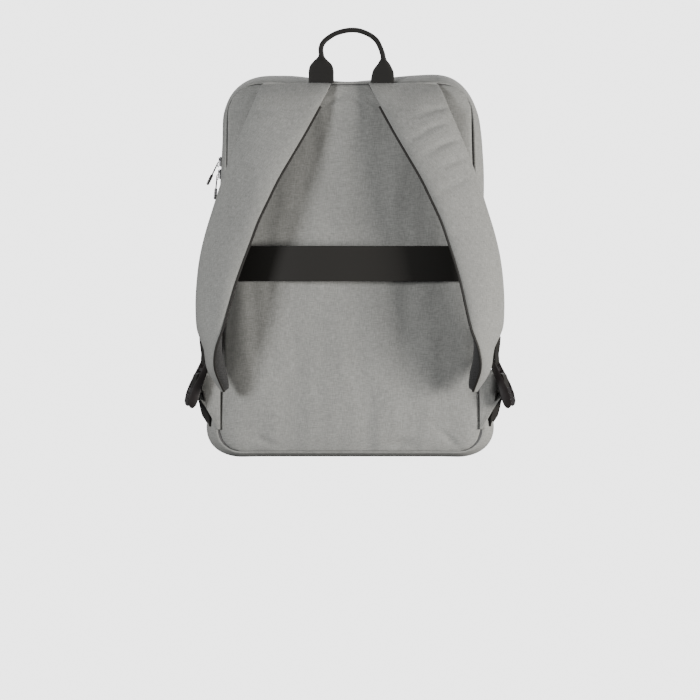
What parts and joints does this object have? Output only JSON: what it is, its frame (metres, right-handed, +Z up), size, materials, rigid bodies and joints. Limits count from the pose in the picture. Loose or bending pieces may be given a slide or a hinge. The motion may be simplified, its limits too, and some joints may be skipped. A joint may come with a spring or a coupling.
{
  "type": "solar backpack",
  "caption": "Laptop backpack with a solar module on its front, a zip-around lid, padded shoulder straps and a band that slips over a trolley handle.",
  "frame": {"origin": "on the flat underside, midway between the sides and 10 mm behind the plane where the main zip closes", "axes": "+Z up, -Y the way the harness and back panel face, +Y the way the solar module faces, +X to the right when facing the harness"},
  "size_m": [0.3854, 0.2195, 0.5082],
  "materials": {
    "grey_cloth": "heather grey woven polyester",
    "lining": "plain woven nylon lining",
    "mesh": "air mesh",
    "webbing": "woven nylon webbing",
    "zip_tape": "woven zip tape with coil teeth",
    "cord": "braided cord",
    "moulded": "moulded acetal with a soft sheen",
    "metal": "dark plated metal",
    "foam": "closed cell foam",
    "board": "sheet polyethylene",
    "silicon": "dark blue black crystalline cells",
    "laminate": "clear textured sheet",
    "module_backing": "black backing sheet",
    "circuit": "green circuit board"
  },
  "bodies": {
    "bag": {"back_panel": "grey_cloth", "back_foam": "foam", "back_board": "board", "rear_bottom_panel": "grey_cloth", "rear_top_panel": "grey_cloth", "rear_side_panel_left": "grey_cloth", "rear_side_panel_right": "grey_cloth", "rear_zip_tape": "zip_tape", "laptop_sleeve": "lining", "bottom_board": "board", "luggage_band": "webbing", "anchor_tab_left": "grey_cloth", "anchor_tab_right": "grey_cloth", "lower_webbing_left": "webbing", "lower_webbing_right": "webbing"},
    "lid": {"front_bottom_panel": "grey_cloth", "front_top_panel": "grey_cloth", "front_side_panel_left": "grey_cloth", "front_side_panel_right": "grey_cloth", "front_panel": "grey_cloth", "front_zip_tape": "zip_tape", "front_pocket": "lining", "organiser_pocket": "mesh", "pocket_zip": "zip_tape", "solar_backing": "module_backing", "solar_cells_left": "silicon", "solar_cells_right": "silicon", "solar_laminate": "laminate", "solar_border": "webbing", "regulator_case": "moulded", "regulator_cover": "moulded", "regulator_board": "circuit", "usb_socket": "metal"},
    "handle": {"carry_handle": "webbing"},
    "strap_left": {"strap_pad_left": "grey_cloth", "strap_lining_left": "mesh", "strap_loop_left": "webbing"},
    "strap_right": {"strap_pad_right": "grey_cloth", "strap_lining_right": "mesh", "strap_loop_right": "webbing"},
    "lock_left": {"ladder_lock_left": "moulded"},
    "lock_right": {"ladder_lock_right": "moulded"},
    "upper_slider": {"main_slider_upper": "metal"},
    "lower_slider": {"main_slider_lower": "metal"},
    "upper_puller": {"main_puller_upper": "cord"},
    "lower_puller": {"main_puller_lower": "cord"},
    "pocket_slider": {"pocket_slider": "metal"},
    "pocket_puller": {"pocket_puller": "cord"}
  },
  "joints": [
    {"name": "lid_hinge", "type": "hinge", "parent": "bag", "child": "lid", "pos_m": [0, 0.01, 0], "axis": [-1, 0, 0], "range_deg": [0, 90]},
    {"name": "handle_fold", "type": "hinge", "parent": "bag", "child": "handle", "pos_m": [0.002, -0.0775, 0.4436], "axis": [1, 0, 0], "range_deg": [-60, 60], "stiffness_Nm_per_rad": 0.06},
    {"name": "strap_left_swing", "type": "hinge", "parent": "bag", "child": "strap_left", "pos_m": [-0.0625, -0.083, 0.4405], "axis": [-1, 0, 0], "range_deg": [0, 28]},
    {"name": "strap_right_swing", "type": "hinge", "parent": "bag", "child": "strap_right", "pos_m": [0.0625, -0.083, 0.4405], "axis": [-1, 0, 0], "range_deg": [0, 28]},
    {"name": "lock_left_tilt", "type": "hinge", "parent": "strap_left", "child": "lock_left", "pos_m": [-0.174, -0.078, 0.113], "axis": [0, 1, 0], "range_deg": [0, 40]},
    {"name": "lock_right_tilt", "type": "hinge", "parent": "strap_right", "child": "lock_right", "pos_m": [0.174, -0.078, 0.113], "axis": [0, -1, 0], "range_deg": [0, 40]},
    {"name": "upper_slider_travel", "type": "slide", "parent": "bag", "child": "upper_slider", "axis": [0.0495, 0, 0.9988], "range_m": [0, 0.034]},
    {"name": "lower_slider_travel", "type": "slide", "parent": "bag", "child": "lower_slider", "axis": [0.0495, 0, 0.9988], "range_m": [-0.268, 0]},
    {"name": "upper_puller_swing", "type": "hinge", "parent": "upper_slider", "child": "upper_puller", "pos_m": [-0.15963, 0.0082, 0.351], "axis": [0, 1, 0], "range_deg": [-16, 120]},
    {"name": "lower_puller_swing", "type": "hinge", "parent": "lower_slider", "child": "lower_puller", "pos_m": [-0.16038, 0.0118, 0.336], "axis": [0, 1, 0], "range_deg": [0, 120]},
    {"name": "pocket_slider_travel", "type": "slide", "parent": "lid", "child": "pocket_slider", "axis": [1, 0, 0], "range_m": [0, 0.196]},
    {"name": "pocket_puller_swing", "type": "hinge", "parent": "pocket_slider", "child": "pocket_puller", "pos_m": [-0.098, 0.0797, 0.09819], "axis": [1, 0, 0], "range_deg": [0, 90]}
  ]
}
